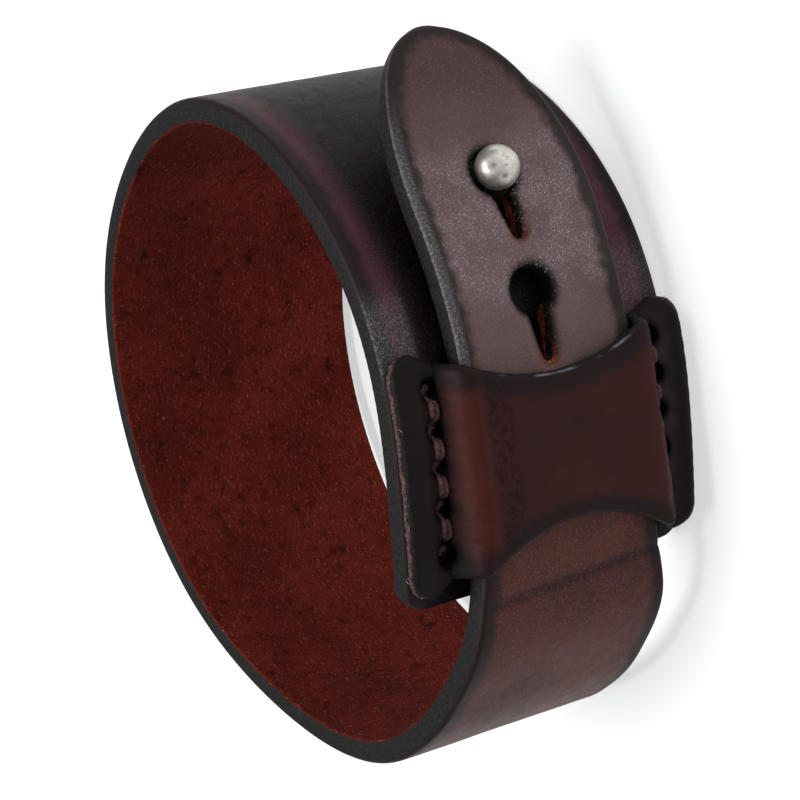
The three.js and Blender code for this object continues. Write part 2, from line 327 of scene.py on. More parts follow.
def gap_to(points, outline):
    """Distance from each point to the nearest of an outline's closely spaced points."""
    dense = resampled(outline, 0.04)
    tree = kdtree.KDTree(len(dense))
    for i, (x, y) in enumerate(dense):
        tree.insert((x, y, 0), i)
    tree.balance()
    return np.array([tree.find((x, y, 0))[2] for x, y in points])


def linked(name, data):
    """Puts data in the scene as an object."""
    thing = bpy.data.objects.new(name, data)
    bpy.context.scene.collection.objects.link(thing)
    return thing


class Blank:
    """Leather cut flat: points of the pattern, its triangles, its cut lines and the gaps to them."""

    # Rows of points close to every cut line, for rounding it over and dishing it
    ROWS = (0.05, 0.13, 0.24, 0.38, 0.56, 0.8, 1.15)

    def __init__(self, outline, holes, grid_step):
        cuts = [outline, *holes]
        points = np.vstack([*cuts, self.rows_along(cuts), self.grid(cuts, grid_step)])
        edges = []
        start = 0
        for cut in cuts:
            count = len(cut)
            edges += [(start + i, start + (i + 1) % count) for i in range(count)]
            start += count
        made = geometry.delaunay_2d_cdt([Vector(p) for p in points], edges, [], 0, 1e-6)
        self.points = np.array([tuple(p) for p in made[0]])
        new_place = {old: new for new, olds in enumerate(made[3]) for old in olds}
        self.loops = []
        start = 0
        for cut in cuts:
            self.loops.append([new_place[start + i] for i in range(len(cut))])
            start += len(cut)
        triangles = np.array(made[2])
        self.triangles = triangles[is_in_leather(self.points[triangles].mean(1), cuts)]
        self.edge_gap = gap_to(self.points, outline)
        self.hole_gap = np.full(len(self.points), 99.0)
        for hole in holes:
            self.hole_gap = np.minimum(self.hole_gap, gap_to(self.points, hole))

    def rows_along(self, cuts):
        rows = []
        for cut in cuts:
            for gap in self.ROWS:
                row = cut + left_normals(cut) * gap
                rows.append(row[gap_to(row, cut) > 0.96 * gap])
        rows = np.vstack(rows)
        return rows[is_in_leather(rows, cuts)]

    def grid(self, cuts, step):
        low, high = cuts[0].min(0), cuts[0].max(0)
        xs = np.arange(low[0], high[0], step)
        ys = np.arange(low[1], high[1], step * math.sqrt(3) / 2)
        grid = np.array([(x + step / 2 * (j % 2), y) for j, y in enumerate(ys) for x in xs])
        grid = grid[is_in_leather(grid, cuts)]
        for cut in cuts:
            grid = grid[gap_to(grid, cut) > self.ROWS[-1] + 0.5 * step]
        return grid


def rounded_over(gap, radius):
    """How far a cut edge rounded to this radius drops below the face."""
    inward = np.clip(radius - gap, 0, radius)
    return radius - np.sqrt(radius**2 - inward**2)


def ripple(points, size, seed):
    """Smooth random values from -1 to 1 with features of about this size."""
    moved = points / size + seed
    return np.array([noise.noise(Vector(p)) for p in moved])


GRAIN, CUT, FLESH, RAW = range(4)
WALL_ROWS = 7


def leather_mesh(name, blank, upper, lower, rawness, finishes):
    """Closed leather: an upper and a lower skin over the same pattern, with walls down every cut."""
    count = len(blank.points)
    points, sources = [upper, lower], [np.arange(count), np.arange(count)]
    depths = [np.zeros(count), np.ones(count)]
    faces = [tuple(t) for t in blank.triangles]
    faces += [tuple(t) for t in blank.triangles[:, ::-1] + count]
    kinds = [GRAIN] * len(blank.triangles) + [FLESH] * len(blank.triangles)
    total = 2 * count
    for number, loop in enumerate(blank.loops):
        loop = np.array(loop)
        top, bottom = upper[loop], lower[loop]
        outward = -left_normals(blank.points[loop])
        rows = [loop]
        for k in range(1, WALL_ROWS):
            share = k / WALL_ROWS
            row = top + (bottom - top) * share
            swell = (0.1 + 0.18 * rawness[loop]) * math.sin(math.pi * share)
            rough = 0.05 * ripple(row, 0.5, 7.0 + number) + 0.03 * ripple(row, 0.22, 3.0)
            row[:, :2] += outward * (swell + rough)[:, None]
            points.append(row)
            sources.append(loop)
            depths.append(np.full(len(loop), share))
            rows.append(np.arange(total, total + len(loop)))
            total += len(loop)
        rows.append(loop + count)
        for above, below in zip(rows, rows[1:]):
            after, under = np.roll(above, -1), np.roll(below, -1)
            faces += list(zip(above, below, under, after))
            kinds += [RAW if bare else CUT for bare in rawness[loop] > 0.35]
    sources = np.concatenate(sources)
    mesh = bpy.data.meshes.new(name)
    mesh.from_pydata(np.vstack(points) * MM, [], [tuple(int(i) for i in face) for face in faces])
    piece = linked(name, mesh)
    for finish in finishes:
        mesh.materials.append(finish)
    mesh.polygons.foreach_set("material_index", kinds)
    mesh.polygons.foreach_set("use_smooth", [True] * len(faces))
    marks = {"edge_gap": blank.edge_gap[sources], "hole_gap": blank.hole_gap[sources],
             "rawness": rawness[sources], "depth": np.concatenate(depths)}
    for label, values in marks.items():
        mesh.attributes.new(label, "FLOAT", "POINT").data.foreach_set("value", values)
    corners = np.empty(len(mesh.loops), int)
    mesh.loops.foreach_get("vertex_index", corners)
    mesh.uv_layers.new(name="flat").data.foreach_set("uv", (blank.points[sources[corners]] * MM).ravel())
    return piece


# Nodes of finishes and of geometry

class Nodes:
    """A group of nodes, with short ways to add and wire them."""

    def __init__(self, group):
        self.group = group

    def feed(self, socket, value):
        """Wires a socket to an output, or sets its value."""
        if isinstance(value, bpy.types.NodeSocket):
            self.group.links.new(value, socket)
        else:
            socket.default_value = value

    def add(self, kind, settings=(), **wires):
        """Adds a node, with its settings, and wires or sets its inputs by their names."""
        node = self.group.nodes.new(kind)
        for label, value in dict(settings).items():
            setattr(node, label, value)
        for label, value in wires.items():
            self.feed(node.inputs[label.replace("_", " ")], value)
        return node

    def maths(self, operation, *values):
        node = self.add("ShaderNodeMath", {"operation": operation})
        for socket, value in zip(node.inputs, values):
            self.feed(socket, value)
        return node.outputs[0]

    def times(self, product, *others):
        for other in others:
            product = self.maths("MULTIPLY", product, other)
        return product


class Tree(Nodes):
    """A Geometry Nodes tree with named inputs."""

    def __init__(self, name, **inputs):
        super().__init__(bpy.data.node_groups.new(name, "GeometryNodeTree"))
        face = self.group.interface
        face.new_socket("Geometry", in_out="INPUT", socket_type="NodeSocketGeometry")
        for label, kind in inputs.items():
            face.new_socket(label, in_out="INPUT", socket_type=f"NodeSocket{kind}")
        face.new_socket("Geometry", in_out="OUTPUT", socket_type="NodeSocketGeometry")
        self.given = self.group.nodes.new("NodeGroupInput").outputs
        self.result = self.group.nodes.new("NodeGroupOutput").inputs

    def made(self, kind, settings=(), **wires):
        """First output of a new geometry node."""
        return self.add(f"GeometryNode{kind}", settings, **wires).outputs[0]

    def vector(self, operation, first, second=None, scale=None):
        node = self.group.nodes.new("ShaderNodeVectorMath")
        node.operation = operation
        self.feed(node.inputs[0], first)
        if second is not None:
            self.feed(node.inputs[1], second)
        if scale is not None:
            self.feed(node.inputs["Scale"], scale)
        return node.outputs[0]

    def xyz(self, x, y, z):
        node = self.group.nodes.new("ShaderNodeCombineXYZ")
        for socket, value in zip(node.inputs, (x, y, z)):
            self.feed(socket, value)
        return node.outputs[0]

    def parts(self, vector):
        node = self.group.nodes.new("ShaderNodeSeparateXYZ")
        self.feed(node.inputs[0], vector)
        return node.outputs


# Laying flat work along the strap

def guide_curve():
    """The strap's middle line as a curve in the CAD frame, with a short lead before the base end."""
    kept = guide_distances < STRAP_LENGTH + GUIDE_LEAD
    line = guide_points[kept] + SHIFT[:2]
    start = line[0] + (line[0] - line[1]) / np.linalg.norm(line[0] - line[1]) * GUIDE_LEAD
    line = np.vstack([start, line]) * MM
    curve = bpy.data.curves.new("strap_guide", "CURVE")
    curve.dimensions = "3D"
    spline = curve.splines.new("POLY")
    spline.points.add(len(line) - 1)
    spline.points.foreach_set("co", np.column_stack([line, 0 * line[:, 0], 0 * line[:, 0] + 1]).ravel())
    return linked("strap_guide", curve)


def add_laying(tree, flat_geometry, guide, lead, middle):
    """Adds the nodes that lay flat geometry along the guide curve."""
    line = tree.add("GeometryNodeObjectInfo", {"transform_space": "ORIGINAL"}, Object=guide)
    flat = tree.parts(tree.made("InputPosition"))
    reach = tree.maths("ADD", flat[0], lead)
    spot = tree.add("GeometryNodeSampleCurve", {"mode": "LENGTH"}, Curves=line.outputs["Geometry"])
    tree.feed(spot.inputs["Length"], reach)
    outward = tree.vector("NORMALIZE", tree.vector("CROSS_PRODUCT", spot.outputs["Tangent"], (0, 0, 1)))
    lifted = tree.vector("ADD", spot.outputs["Position"], tree.vector("SCALE", outward, scale=flat[2]))
    placed = tree.vector("ADD", lifted, tree.xyz(0.0, 0.0, tree.maths("ADD", flat[1], middle)))
    return tree.made("SetPosition", Geometry=flat_geometry, Position=placed)


def laying_tree():
    tree = Tree("lay_along_strap", Guide="Object", Lead="Float", Middle="Float")
    given = tree.given
    laid = add_laying(tree, given["Geometry"], given["Guide"], given["Lead"], given["Middle"])
    tree.feed(tree.result["Geometry"], laid)
    return tree.group


def kept_as_mesh(piece):
    """Keeps the result of a piece's modifiers as its plain mesh."""
    depsgraph = bpy.context.evaluated_depsgraph_get()
    evaluated = piece.evaluated_get(depsgraph)
    mesh = bpy.data.meshes.new_from_object(evaluated, preserve_all_data_layers=True, depsgraph=depsgraph)
    mesh.name = piece.name
    piece.modifiers.clear()
    piece.data = mesh
    return piece


def grown(piece, group, **inputs):
    """Runs a Geometry Nodes tree on a piece and keeps the result as a plain mesh."""
    modifier = piece.modifiers.new(group.name, "NODES")
    modifier.node_group = group
    for item in group.interface.items_tree:
        if item.in_out == "INPUT" and item.name in inputs:
            modifier[item.identifier] = inputs[item.name]
    return kept_as_mesh(piece)


# Finishes

def shade(code):
    """Linear colour from a hexadecimal display colour."""
    channels = [int(code[i:i + 2], 16) / 255 for i in (0, 2, 4)]
    linear = [c / 12.92 if c <= 0.04045 else ((c + 0.055) / 1.055) ** 2.4 for c in channels]
    return (*linear, 1.0)


class Finish(Nodes):
    """A procedural material on one Principled shader."""

    def __init__(self, name):
        self.material = bpy.data.materials.new(name)
        self.material.use_nodes = True
        super().__init__(self.material.node_tree)
        self.shader = self.group.nodes["Principled BSDF"]

    def set(self, label, value):
        self.feed(self.shader.inputs[label], value)

    def finished(self, colour, roughness, specular, normal=None):
        """Sets what every finish has and hands back its material."""
        self.set("Base Color", colour)
        self.set("Roughness", roughness)
        self.set("Specular IOR Level", specular)
        if normal is not None:
            self.set("Normal", normal)
        return self.material

    def stretch(self, vector, scale):
        node = self.add("ShaderNodeVectorMath", {"operation": "MULTIPLY"})
        self.feed(node.inputs[0], vector)
        self.feed(node.inputs[1], scale)
        return node.outputs[0]

    def noise(self, vector, scale, detail=2.0, roughness=0.5, distortion=0.0):
        node = self.add("ShaderNodeTexNoise", Vector=vector, Scale=scale, Detail=detail)
        self.feed(node.inputs["Roughness"], roughness)
        self.feed(node.inputs["Distortion"], distortion)
        return node.outputs["Fac"]

    def between(self, value, low, high, start=0.0, end=1.0):
        """Remaps a value smoothly from one range to another."""
        node = self.add("ShaderNodeMapRange", {"interpolation_type": "SMOOTHSTEP"})
        for label, given in (("Value", value), ("From Min", low), ("From Max", high),
                             ("To Min", start), ("To Max", end)):
            self.feed(node.inputs[label], given)
        return node.outputs["Result"]

    def mix(self, share, first, second):
        node = self.add("ShaderNodeMix", {"data_type": "RGBA"})
        self.feed(node.inputs["Factor"], share)
        sockets = [s for s in node.inputs if s.type == "RGBA"]
        self.feed(sockets[0], first)
        self.feed(sockets[1], second)
        return next(s for s in node.outputs if s.type == "RGBA")

    def blend(self, value, dark, light, low=0.3, high=0.7):
        """Runs from one colour to another as a value rises."""
        return self.mix(self.between(value, low, high), shade(dark), shade(light))

    def tint(self, colour, share, code):
        """Mixes a display colour in by a share."""
        return self.mix(share, colour, shade(code))

    def band(self, value, start, full, fading, end):
        """1 between two places and 0 beyond them, with smooth sides."""
        return self.times(self.between(value, start, full), self.between(value, end, fading))

    def bump(self, height, distance, strength, under=None):
        node = self.add("ShaderNodeBump", Height=height, Distance=distance, Strength=strength)
        if under is not None:
            self.feed(node.inputs["Normal"], under)
        return node.outputs["Normal"]

    def mark(self, name):
        return self.add("ShaderNodeAttribute", {"attribute_name": name}).outputs["Fac"]

    def flat(self):
        """Place on the flat leather, in metres."""
        return self.add("ShaderNodeUVMap", {"uv_map": "flat"}).outputs["UV"]

    def place(self):
        return self.add("ShaderNodeTexCoord").outputs["Object"]


def waxed_grain(f, flat, colour, specular, edge_dark, sparkle, arris_highlight, painted_sheen=0.0, frayed=0.0):
    """Dyed grain side: burnished along its cuts, painted dark round its holes as their shade, with a
    painted highlight on its arris and painted glints and sheen on its grain.
    """
    edge = f.mark("edge_gap")
    mottle = f.noise(flat, 700.0, 4.0, 0.6)
    ragged = f.maths("ADD", edge, f.between(mottle, 0.3, 0.7, -0.3, 0.3))
    inner = f.between(ragged, 0.9, 2.2)
    colour = f.tint(colour, f.between(ragged, 0.9, 2.2, edge_dark, 0.0), "151214")
    # Near black round every hole: partly its burnished rim, partly painted shade of the dished hole.
    colour = f.tint(colour, f.between(f.mark("hole_gap"), 0.05, 0.8, 0.96, 0.0), "0e0c0d")
    grain = f.noise(flat, 4600.0, 3.0, 0.6)
    frays = f.times(frayed, f.between(grain, 0.42, 0.6, 0.25, 1.0))
    colour = f.tint(colour, frays, "8f4a30")
    # Painted highlights: pale beads on the grain stand in for glints, with dark pits between them.
    beads = f.add("ShaderNodeTexVoronoi", {"feature": "F1"}, Vector=flat, Scale=5200.0)
    lot = f.add("ShaderNodeSeparateXYZ", Vector=beads.outputs["Color"]).outputs["X"]
    round_bead = f.between(beads.outputs["Distance"], 0.5, 0.15)
    glint = f.times(round_bead, f.between(lot, 0.2, 1.0, 0.1, 0.75))
    sparkle = f.times(sparkle, inner)
    colour = f.tint(colour, f.times(f.between(grain, 0.5, 0.32), sparkle), "160f0f")
    colour = f.tint(colour, f.times(glint, sparkle), "d2c6c6")
    # Painted sheen: grey specks and haze where the grain would take the light.
    sheen_specks = f.maths("MULTIPLY_ADD", glint, 0.9, f.between(grain, 0.4, 0.65, 0.1, 0.5))
    colour = f.tint(colour, f.times(sheen_specks, painted_sheen), "85858a")
    # Painted highlight: a pale line along the arris of the cut.
    arris = f.times(f.between(edge, 0.19, 0.07), arris_highlight)
    colour = f.tint(colour, f.times(arris, f.between(mottle, 0.4, 0.55, 0.55, 1.0)), "95949b")
    relief = f.times(grain, f.maths("MULTIPLY_ADD", sparkle, 1.0, 0.1))
    roughness = f.between(mottle, 0.25, 0.75, 0.46, 0.58)
    return f.finished(colour, roughness, specular, f.bump(relief, 0.0001, 0.5))


def strap_grain():
    """Strap's outside: red-brown round the band, purple under the tongue, a greyer tongue with painted
    sheen, and painted shade.
    """
    f = Finish("strap_grain")
    flat = f.flat()
    parts = f.add("ShaderNodeSeparateXYZ", Vector=flat)
    along, across = parts.outputs["X"], parts.outputs["Y"]
    clouds = f.noise(flat, 120.0, 3.0, 0.55)
    round_band = f.blend(clouds, "40211d", "522c26")
    front_band = f.blend(clouds, "412329", "4c2a31")
    # Greyer tongue: partly its own greyish tone, partly painted sheen.
    tongue = f.blend(clouds, "594443", "664f4f")
    tongue = f.tint(tongue, f.between(along, 0.233, 0.243), "4b3433")
    colour = f.mix(f.between(along, 0.08, 0.055), round_band, front_band)
    colour = f.mix(f.between(along, 0.203, 0.214), colour, tongue)
    # Painted shadow: the band beside the tongue is coloured near black as the tongue's shadow.
    shaded = f.times(f.band(across, -0.007, -0.004, 0.010, 0.0135), f.between(along, 0.075, 0.06))
    colour = f.tint(colour, shaded, "0c0505")
    # Painted shade: a dark line along the crease across the strap.
    ahead = f.maths("SUBTRACT", along, CREASE_DISTANCE * MM)
    from_crease = f.maths("ABSOLUTE", f.maths("MULTIPLY_ADD", across, CREASE_LEAN, ahead))
    colour = f.tint(colour, f.between(from_crease, 0.0009, 0.0001, 0.0, 0.6), "1d0f0e")
    # Painted shade: the base is coloured near black where the keeper's wings cover it.
    beside_middle = f.maths("ABSOLUTE", across)
    under_wing = f.band(beside_middle, 0.0098, 0.0102, 0.0130, 0.0134)
    covered = f.times(under_wing, f.between(along, 0.0215, 0.0205))
    colour = f.tint(colour, covered, "060404")
    # Painted sheen: a lighter grey patch round the keyholes.
    patches = f.between(f.noise(flat, 260.0, 3.0, 0.6), 0.36, 0.58, 0.35, 1.0)
    sheen_patch = f.times(f.band(along, 0.2185, 0.2235, 0.2315, 0.2365), patches)
    colour = f.tint(colour, sheen_patch, "6f5d5d")
    sparkle = f.maths("MULTIPLY_ADD", sheen_patch, 0.45, 0.1)
    sparkle = f.times(sparkle, f.between(along, 0.12, 0.20, 0.5, 1.0))
    # Painted sheen on the tongue's near border and on the band beside the keeper.
    near_side = f.times(f.between(f.mark("edge_gap"), 1.1, 0.5), f.between(across, 0.0, 0.004))
    on_tongue = f.times(f.between(along, 0.206, 0.216), f.between(along, 0.243, 0.232, 0.0, 0.75))
    near_row = f.between(across, 0.0108, 0.0118)
    beside = f.maths("MAXIMUM", near_row, f.between(across, -0.0085, -0.0100, 0.0, 0.6))
    by_keeper = f.times(f.band(along, 0.0205, 0.0225, 0.0255, 0.0295), beside, 0.6)
    painted_sheen = f.maths("MAXIMUM", f.times(near_side, on_tongue), by_keeper)
    rawness = f.between(f.mark("rawness"), 0.76, 0.93)
    frayed = f.times(rawness, f.between(patches, 0.35, 1.0, 0.45, 0.9))
    # Painted highlight along the tongue's arris, strongest on its far side.
    arris_highlight = f.times(f.between(across, 0.004, 0.0, 0.15, 0.7), f.between(along, 0.2, 0.21, 0.1, 1.0))
    return waxed_grain(f, flat, colour, 0.1, 0.85, sparkle, arris_highlight, painted_sheen, frayed)


def keeper_grain():
    """Keeper's outside: satin oxblood, ruddier over its near shoulder with wear and painted highlight,
    near black on its wings, the far wing painted lighter as sheen.
    """
    f = Finish("keeper_grain")
    flat = f.flat()
    parts = f.add("ShaderNodeSeparateXYZ", Vector=flat)
    side = parts.outputs["Y"]
    across = f.maths("ABSOLUTE", side)
    clouds = f.noise(flat, 160.0, 3.0, 0.5)
    colour = f.blend(clouds, "2e1514", "371817")
    # Lighter red over the near shoulder: partly worn redness, partly painted highlight.
    ruddy = f.times(f.between(across, 0.0078, 0.0090), f.between(side, -0.002, 0.002, 0.5, 1.0))
    colour = f.tint(colour, f.times(ruddy, 0.85), "3f1c18")
    stained = f.band(side, 0.0052, 0.0062, 0.0076, 0.0086)
    stains = f.between(f.noise(flat, 1500.0, 4.0, 0.7), 0.4, 0.62)
    colour = f.tint(colour, f.times(stained, stains), "260a0c")
    # Painted sheen: the far wing, seen at a grazing angle, is coloured lighter than the near one.
    wing = f.blend(side, "1e1615", "332a2f", 0.001, -0.001)
    colour = f.mix(f.between(across, 0.0096, 0.0107, 0.0, 0.95), colour, wing)
    # Painted highlight along the keeper's arris, broken up by noise.
    arris_highlight = f.times(f.between(parts.outputs["X"], 0.012, 0.016, 0.02, 0.5),
                   f.between(across, 0.009, 0.006),
                   f.between(f.noise(flat, 380.0, 2.0, 0.5), 0.42, 0.58))
    return waxed_grain(f, flat, colour, 0.07, 0.75, 0.0, arris_highlight)


def cut_edge(name, dark, light, raw_from, raw_to, raw_dark, raw_light):
    """Cut edge: burnished, painted black as shade inside a hole, and raw below some depth where it was
    left so.
    """
    f = Finish(name)
    place = f.place()
    grains = f.noise(place, 3600.0, 3.0, 0.65)
    clumps = f.noise(place, 800.0, 3.0, 0.6)
    charcoal = f.blend(grains, dark, light, 0.42, 0.72)
    charcoal = f.tint(charcoal, f.between(clumps, 0.6, 0.75, 0.0, 0.3), "351814")
    # Painted shade: the wall inside a hole is coloured near black.
    charcoal = f.tint(charcoal, f.between(f.mark("hole_gap"), 0.3, 0.02), "080606")
    raw = f.blend(grains, raw_dark, raw_light, 0.35, 0.7)
    depth = f.maths("ADD", f.mark("depth"), f.between(clumps, 0.3, 0.7, -0.12, 0.12))
    bare = f.times(f.band(depth, raw_from, raw_from + 0.15, raw_to, raw_to + 0.15),
                   f.between(f.mark("rawness"), 0.3, 0.6))
    normal = f.bump(clumps, 0.0002, 0.5, f.bump(grains, 0.00014, 0.7))
    roughness = f.between(grains, 0.2, 0.8, 0.5, 0.8)
    return f.finished(f.mix(bare, charcoal, raw), roughness, 0.2, normal)


def raw_flesh():
    """Napped flesh side: dark red-brown, blotched, with short pale fibres and a few smudges."""
    f = Finish("raw_flesh")
    flat = f.flat()
    lying = f.noise(f.stretch(flat, (1800.0, 5200.0, 1.0)), 1.0, 3.0, 0.7, 0.8)
    crossed = f.noise(f.stretch(flat, (5000.0, 2200.0, 1.0)), 1.0, 3.0, 0.7, 0.8)
    clouds = f.noise(flat, 100.0, 3.0, 0.5)
    blotches = f.noise(flat, 650.0, 4.0, 0.65)
    smudges = f.noise(flat, 330.0, 2.0, 0.5)
    colour = f.blend(clouds, "531a14", "67231b")
    colour = f.tint(colour, f.between(blotches, 0.5, 0.68, 0.0, 0.55), "2b0d0a")
    colour = f.tint(colour, f.between(lying, 0.56, 0.7, 0.0, 0.65), "a35b44")
    colour = f.tint(colour, f.between(crossed, 0.44, 0.3, 0.0, 0.7), "2a0906")
    colour = f.tint(colour, f.between(smudges, 0.64, 0.76, 0.0, 0.75), "140a09")
    normal = f.bump(crossed, 0.0002, 0.5, f.bump(lying, 0.00025, 0.6))
    return f.finished(colour, 0.95, 0.05, normal)


def loose_fibre(name, dark, light):
    """Single fibres of raw leather, each its own tone."""
    f = Finish(name)
    tone = f.noise(f.place(), 900.0, 2.0, 0.5)
    return f.finished(f.blend(tone, dark, light, 0.35, 0.65), 0.9, 0.1)


def waxed_thread():
    """Linen thread, waxed, dyed with the leather, flecked paler and darker, with darker stains."""
    f = Finish("waxed_thread")
    place = f.place()
    fuzz = f.noise(place, 4200.0, 3.0, 0.7)
    stain = f.noise(place, 900.0, 2.0, 0.5)
    colour = f.blend(fuzz, "33211f", "654645", 0.35, 0.65)
    colour = f.tint(colour, f.between(stain, 0.4, 0.7, 0.0, 0.6), "241516")
    return f.finished(colour, 0.7, 0.25, f.bump(fuzz, 0.0001, 0.6))


def tumbled_steel():
    """Nickel-grey steel, softly scuffed, with olive spots, painted near black as shade on the stud's
    neck, flange and lower ball, and in its dents.
    """
    f = Finish("tumbled_steel")
    place = f.place()
    clouds = f.noise(place, 650.0, 4.0, 0.6)
    scuffs = f.noise(place, 2600.0, 3.0, 0.7)
    spots = f.noise(place, 1300.0, 3.0, 0.6)
    colour = f.blend(clouds, "b5b1a8", "d0cdc6", 0.35, 0.65)
    colour = f.tint(colour, f.between(spots, 0.56, 0.72, 0.0, 0.6), "77735f")
    # Painted shade: marked steel is coloured near black, duller and less metallic.
    black = f.mark("tarnish")
    colour = f.tint(colour, black, "0e0c0b")
    f.set("Metallic", f.maths("SUBTRACT", 1.0, f.times(black, 0.8)))
    roughness = f.maths("MULTIPLY_ADD", black, 0.4, f.between(scuffs, 0.3, 0.7, 0.38, 0.52))
    return f.finished(colour, roughness, 0.2, f.bump(scuffs, 0.00004, 0.5))


# Leather pieces

def strap_outline():
    """Cut line of the strap, counterclockwise from its base end."""
    corner = BASE_CORNER * (1 - np.cos(np.linspace(0, math.pi / 2, 12)))
    sides = np.concatenate([corner, np.linspace(BASE_CORNER, TIP_START, 700)[1:-1]])
    loss = BASE_CORNER - np.sqrt(BASE_CORNER**2 - np.clip(BASE_CORNER - sides, 0, None) ** 2)
    half = tapered_half_width(sides) - loss
    turn = np.linspace(-math.pi / 2, math.pi / 2, 90)
    tip_x = TIP_START + TIP_LENGTH * np.cos(turn)
    tip = np.column_stack([tip_x, tapered_half_width(tip_x) * np.sin(turn)])
    right = np.column_stack([sides, -half])
    left = np.column_stack([sides, half])[::-1]
    return resampled(np.vstack([right, tip, left]), 0.5)


def keyhole_outline(x):
    """Clockwise keyhole with a tapered slot towards the base end, leaning a little across the strap."""
    opening = math.pi - math.asin(KEYSLOT_WIDTH / 2 / KEYHOLE_RADIUS)
    turn = np.linspace(-opening, opening, 80)
    head = np.column_stack([np.cos(turn), np.sin(turn)]) * KEYHOLE_RADIUS
    turn = np.linspace(math.pi / 2, 1.5 * math.pi, 30)
    end = np.column_stack([np.cos(turn), np.sin(turn)]) * KEYSLOT_END_WIDTH / 2
    end[:, 0] += KEYSLOT_END_WIDTH / 2 - KEYSLOT_LENGTH
    outline = softened(resampled(np.vstack([head, end]), 0.18), 2)
    lean = math.radians(KEYSLOT_LEAN)
    turned_by = np.array([[math.cos(lean), math.sin(lean)], [-math.sin(lean), math.cos(lean)]])
    return (outline @ turned_by + (x, 0))[::-1]


def slot_end(x):
    """Middle of the round end of a keyhole's slot."""
    run = KEYSLOT_LENGTH - KEYSLOT_END_WIDTH / 2
    lean = math.radians(KEYSLOT_LEAN)
    return x - run * math.cos(lean), -run * math.sin(lean)


def oval_outline(x, y, length, width):
    """Clockwise oval hole."""
    turn = np.linspace(0, -2 * math.pi, 60, endpoint=False)
    return resampled(np.column_stack([x + np.cos(turn) * length / 2, y + np.sin(turn) * width / 2]), 0.2)


def stitch_rows():
    """Stitch holes of each wing as lists of (x, y, length), from the wing's lower end."""
    height = BAND_WIDTH / 2 - STITCH_INSET
    return [[(KEEPER_START + share * KEEPER_WING, y, length) for share, length in STITCH_HOLES]
            for y in (height, -height - FAR_ROW_SHIFT)]


def stitch_hole_outlines(spare):
    return [oval_outline(x, y, length + spare, STITCH_HOLE_WIDTH + spare)
            for row in stitch_rows() for x, y, length in row]


def make_strap(finishes):
    """Strap with a round tip, keyholes, a crease and rounded, dished cuts."""
    bore = 2 * (BORE_RADIUS + SCREW_GAP)
    screw_hole = oval_outline(STUD_DISTANCE, 0, bore, bore)
    keyholes = [keyhole_outline(x) for x in KEYHOLES]
    holes = [*keyholes, screw_hole, *stitch_hole_outlines(-BASE_HOLE_SHRINK)]
    blank = Blank(strap_outline(), holes, STRAP_GRID)
    x, y = blank.points.T
    key_gap = np.minimum(*[gap_to(blank.points, hole) for hole in keyholes])
    flat = np.column_stack([x, y, 0 * x])
    sway = 0.10 * ripple(flat, 16.0, 2.0) + 0.03 * ripple(flat, 4.0, 5.0)
    from_crease = x + CREASE_LEAN * y - CREASE_DISTANCE
    crease = CREASE_DEPTH * np.exp(-(from_crease / CREASE_WIDTH) ** 2)
    crease *= smoothstep(np.abs(y + 1), 11.5, 8)
    top = STRAP_THICKNESS / 2 + sway - crease - DISH_DEPTH * np.exp(-(key_gap / DISH_WIDTH) ** 2)
    top -= rounded_over(blank.edge_gap, GRAIN_EDGE_ROUND) + rounded_over(blank.hole_gap, HOLE_ROUND)
    bottom = -STRAP_THICKNESS / 2 + 0.5 * sway + rounded_over(blank.edge_gap, FLESH_EDGE_ROUND)
    upper = np.column_stack([x, y, top])
    lower = np.column_stack([x, y, bottom])
    ends = [slot_end(hole_x) for hole_x in KEYHOLES]
    from_ends = np.min([np.hypot(x - end_x, y - end_y) for end_x, end_y in ends], axis=0)
    from_slots = np.min([np.abs(x - hole_x + SLOT_MIDDLE) for hole_x in KEYHOLES], axis=0)
    rawness = np.clip(1 - from_ends / RAW_REACH, 0, 1)
    rawness *= smoothstep(from_slots, RAW_HALF_LENGTH, RAW_HALF_LENGTH - 1)
    return leather_mesh("strap_leather_body", blank, upper, lower, rawness, finishes)


def keeper_reach(y):
    """The keeper's two ends along the base at a height across it."""
    half = BAND_WIDTH / 2
    across = np.abs(y)
    flare = np.minimum(1, across / (half - KEEPER_CORNER)) ** 2
    corner = np.clip(across - (half - KEEPER_CORNER), 0, KEEPER_CORNER)
    loss = KEEPER_CORNER - np.sqrt(KEEPER_CORNER**2 - corner**2)
    notch = (1 - flare) * (KEEPER_WING - KEEPER_WAIST) / 2
    shift = (1 - flare) * KEEPER_WAIST_SHIFT
    return KEEPER_START + notch + shift + loss, KEEPER_START + KEEPER_WING - notch + shift - loss


def keeper_rise(x, y):
    """Height of the keeper's middle off the base's: flat on the base, arched over the tongue."""
    turn = turn_at(x)
    wing = (STRAP_THICKNESS + KEEPER_THICKNESS) / 2 + LAYER_GAP
    bridge = wing + lap_lift(turn + 360)
    wall = tapered_half_width(distance_at(turn + 360)) + LAYER_GAP + KEEPER_THICKNESS / 2
    wall = wall + FAR_SHOULDER_SPREAD * (y < 0)
    climb = smoothstep(np.abs(y), wall - SHOULDER_RUN / 2, wall + SHOULDER_RUN / 2)
    curl = FAR_WING_CURL * np.clip((-y - FAR_CURL_START) / (BAND_WIDTH / 2 - FAR_CURL_START), 0, 1) ** 2
    return bridge + (wing - bridge) * climb + curl


